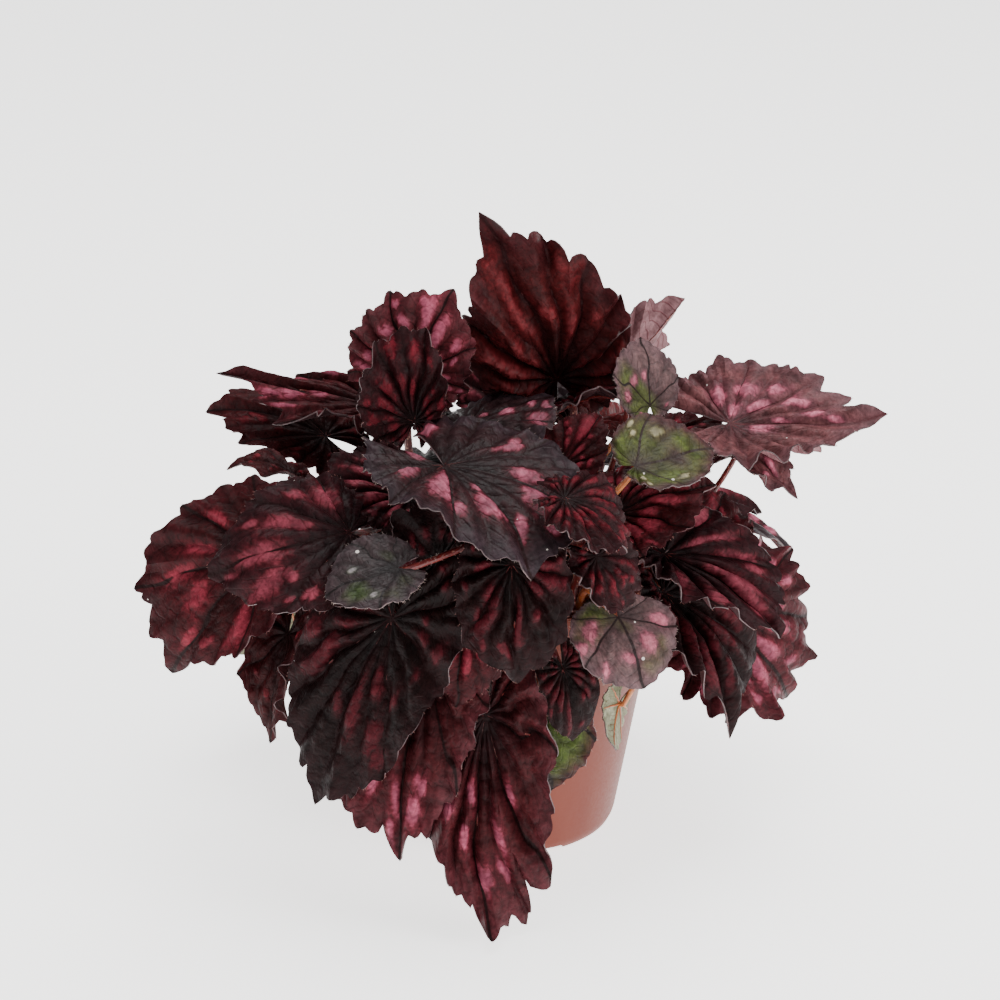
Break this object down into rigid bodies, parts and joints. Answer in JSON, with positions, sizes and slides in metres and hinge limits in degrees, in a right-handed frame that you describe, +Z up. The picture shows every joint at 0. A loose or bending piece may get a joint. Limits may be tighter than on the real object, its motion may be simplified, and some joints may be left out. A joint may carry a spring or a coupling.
{
  "type": "potted rex begonia",
  "caption": "Potted rex begonia: waved, toothed heart-shaped leaves in near-black and red on red petioles, creeping rhizomes, soil and a tapered plastic nursery pot.",
  "frame": {"origin": "under the middle of the pot's foot, on the surface that the pot stands on", "axes": "+Z up, -Y the front of the plant as pictured, +X to the right seen from the front"},
  "size_m": [0.2686, 0.2534, 0.242],
  "materials": {
    "pot_plastic": "satin moulded polypropylene",
    "soil": "loose peat potting soil",
    "rhizome": "scarred fleshy stem",
    "leaf_black": "satin near-black leaf with red blotches",
    "leaf_red": "satin dark leaf with wide red streaks",
    "leaf_maroon": "matt maroon leaf underside",
    "leaf_mauve": "hairy mauve leaf with pink blotches",
    "leaf_olive": "olive leaf with dark veins",
    "leaf_pale": "matt pale leaf underside"
  },
  "bodies": {
    "root": {"pot": "pot_plastic", "soil": "soil", "rhizome_long": "rhizome", "rhizome_short": "rhizome", "top_fan": "leaf_red", "top_back_pale": "leaf_pale", "top_old": "leaf_mauve", "upper_left": "leaf_red", "upper_left_front": "leaf_black", "upper_inner": "leaf_black", "centre_behind": "leaf_black", "top_low_right": "leaf_black", "inner_right": "leaf_red", "right_long": "leaf_mauve", "right_folded": "leaf_mauve", "right_red": "leaf_red", "green_oval": "leaf_olive", "right_backlit": "leaf_red", "right_behind": "leaf_red", "right_fan": "leaf_black", "right_lower": "leaf_black", "right_spotted": "leaf_mauve", "right_spiky": "leaf_red", "right_under_pale": "leaf_pale", "side_right": "leaf_black", "side_right_low": "leaf_red", "left_ruffled": "leaf_red", "left_maroon": "leaf_maroon", "left_small_ruffled": "leaf_black", "left_tips": "leaf_maroon", "left_inner": "leaf_red", "left_pink": "leaf_black", "left_outer": "leaf_red", "left_pale_under": "leaf_pale", "left_rolled": "leaf_maroon", "inner_left": "leaf_black", "side_left": "leaf_black", "side_left_low": "leaf_red", "centre_heart": "leaf_black", "centre_right": "leaf_black", "young_ruffled": "leaf_red", "centre_left_ruffled": "leaf_red", "small_olive": "leaf_olive", "front_centre": "leaf_black", "front_centre_left": "leaf_red", "front_left_dark": "leaf_black", "front_left_pink": "leaf_mauve", "front_right_dark": "leaf_red", "front_green": "leaf_olive", "front_hanging": "leaf_red", "back_upper": "leaf_black", "back_upper_left": "leaf_red", "back_upper_right": "leaf_red", "back_left": "leaf_black", "back_right": "leaf_black", "back_right_low": "leaf_black", "back_middle": "leaf_red", "back_left_low": "leaf_mauve", "back_hanging_left": "leaf_black", "back_hanging_right": "leaf_red"}
  },
  "joints": []
}
